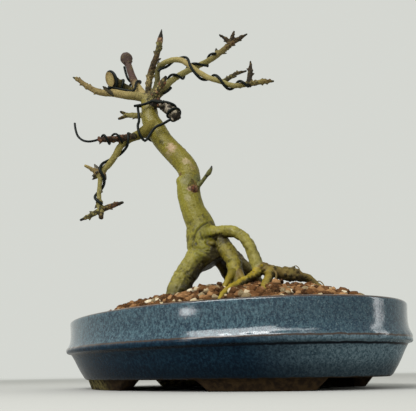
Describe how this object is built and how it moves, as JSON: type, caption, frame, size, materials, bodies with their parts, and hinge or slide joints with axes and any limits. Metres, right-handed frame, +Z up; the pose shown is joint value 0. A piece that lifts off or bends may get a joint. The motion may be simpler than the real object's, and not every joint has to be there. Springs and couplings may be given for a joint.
{
  "type": "ash bonsai",
  "caption": "Bare winter ash trained as a bonsai: a leaning trunk on arched bare roots with short wired branches, planted in a heap of granules in an oval footed glazed pot",
  "frame": {"origin": "on the surface that the pot stands on, under the middle of the whole with its branches", "axes": "+Z up, +X along the oval pot towards the end that the foot of the arched root points to, +Y to the back of the pot"},
  "size_m": [0.3346, 0.2276, 0.3752],
  "materials": {
    "pot_glaze": "glossy speckled blue-grey glaze, bare clay feet",
    "soil_granules": "rough baked clay granules with some pumice",
    "bark": "smooth satin olive bark",
    "netting": "matte dark green",
    "staple_wire": "plain drawn wire",
    "training_wire": "dark anodised, satin"
  },
  "bodies": {
    "root": {"pot": "pot_glaze", "soil": "soil_granules", "tree": "bark", "drain_screen_1": "netting", "drain_screen_2": "netting", "screen_staple_1": "staple_wire", "screen_staple_2": "staple_wire", "wire_droop": "training_wire", "wire_knuckle": "training_wire", "wire_left": "training_wire", "wire_sawn": "training_wire", "wire_arch": "training_wire", "wire_right": "training_wire", "wire_twig": "training_wire"}
  },
  "joints": []
}
